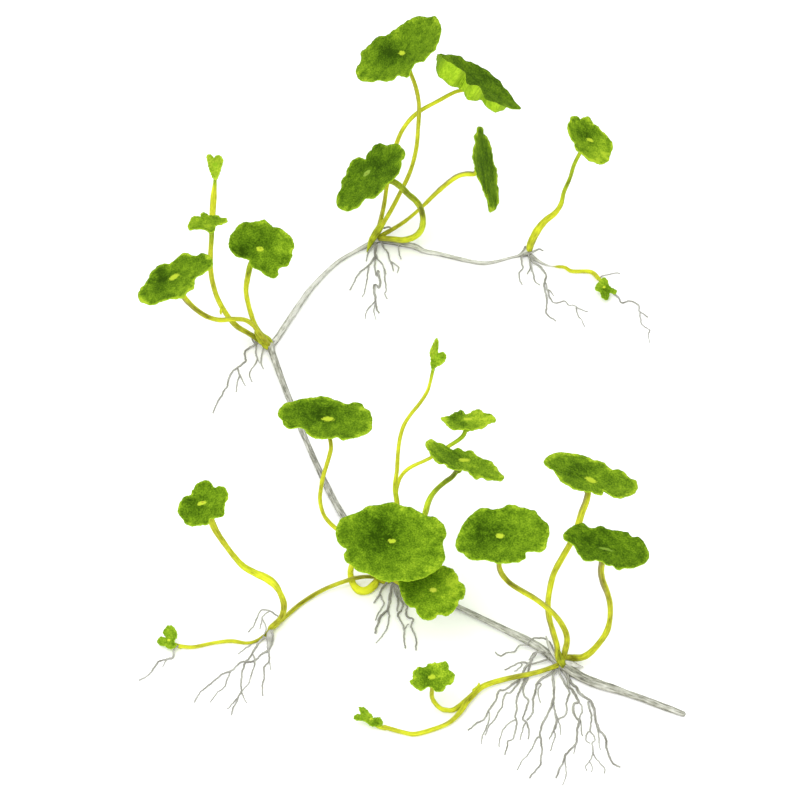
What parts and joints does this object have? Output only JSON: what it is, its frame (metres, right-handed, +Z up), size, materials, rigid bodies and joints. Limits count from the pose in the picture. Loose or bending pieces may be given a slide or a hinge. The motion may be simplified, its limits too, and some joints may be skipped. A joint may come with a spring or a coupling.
{
  "type": "whorled pennywort plant",
  "caption": "Creeping water plant with a grey rhizome, yellow-green runners, round scalloped leaves on tall stalks from its nodes, and tufts of branched roots.",
  "frame": {"origin": "middle of the plant's outline on the surface that it lies on", "axes": "+X to the right, +Y away from the front along the rhizome's length, +Z up from the surface along the leaf stalks"},
  "size_m": [0.1953, 0.3289, 0.0989],
  "materials": {
    "leaf": "satin",
    "young_leaf": "satin",
    "stalk": "satin",
    "runner": "satin",
    "rhizome": "matte",
    "root": "matte"
  },
  "bodies": {
    "root": {"leaf_01": "leaf", "leaf_02": "leaf", "leaf_03": "leaf", "leaf_04": "leaf", "leaf_05": "leaf", "leaf_06": "leaf", "leaf_07": "leaf", "leaf_08": "leaf", "leaf_10": "leaf", "leaf_11": "leaf", "leaf_12": "leaf", "leaf_13": "leaf", "leaf_14": "leaf", "leaf_16": "leaf", "leaf_17": "leaf", "leaf_18": "leaf", "leaf_19": "leaf", "leaf_21": "leaf", "rhizome_1_to_2": "rhizome", "rhizome_2_to_3": "rhizome", "rhizome_3_to_4": "rhizome", "rhizome_4_to_5": "rhizome", "rhizome_old_end": "rhizome", "roots_1": "root", "roots_1_side": "root", "roots_2": "root", "roots_3": "root", "roots_4": "root", "roots_5": "root", "roots_6": "root", "roots_left_tip": "root", "roots_right_tip": "root", "runner_front": "runner", "runner_left_far": "runner", "runner_left_near": "runner", "runner_right": "runner", "stalk_01": "stalk", "stalk_02": "stalk", "stalk_03": "stalk", "stalk_04": "stalk", "stalk_05": "stalk", "stalk_06": "stalk", "stalk_07": "stalk", "stalk_08": "stalk", "stalk_10": "stalk", "stalk_11": "stalk", "stalk_12": "stalk", "stalk_13": "stalk", "stalk_14": "stalk", "stalk_16": "stalk", "stalk_17": "stalk", "stalk_18": "stalk", "stalk_19": "stalk", "stalk_21": "stalk", "tip_leaf_front": "young_leaf", "tip_leaf_left": "young_leaf", "tip_leaf_right": "young_leaf", "young_leaf_09": "young_leaf", "young_leaf_15": "young_leaf"}
  },
  "joints": []
}
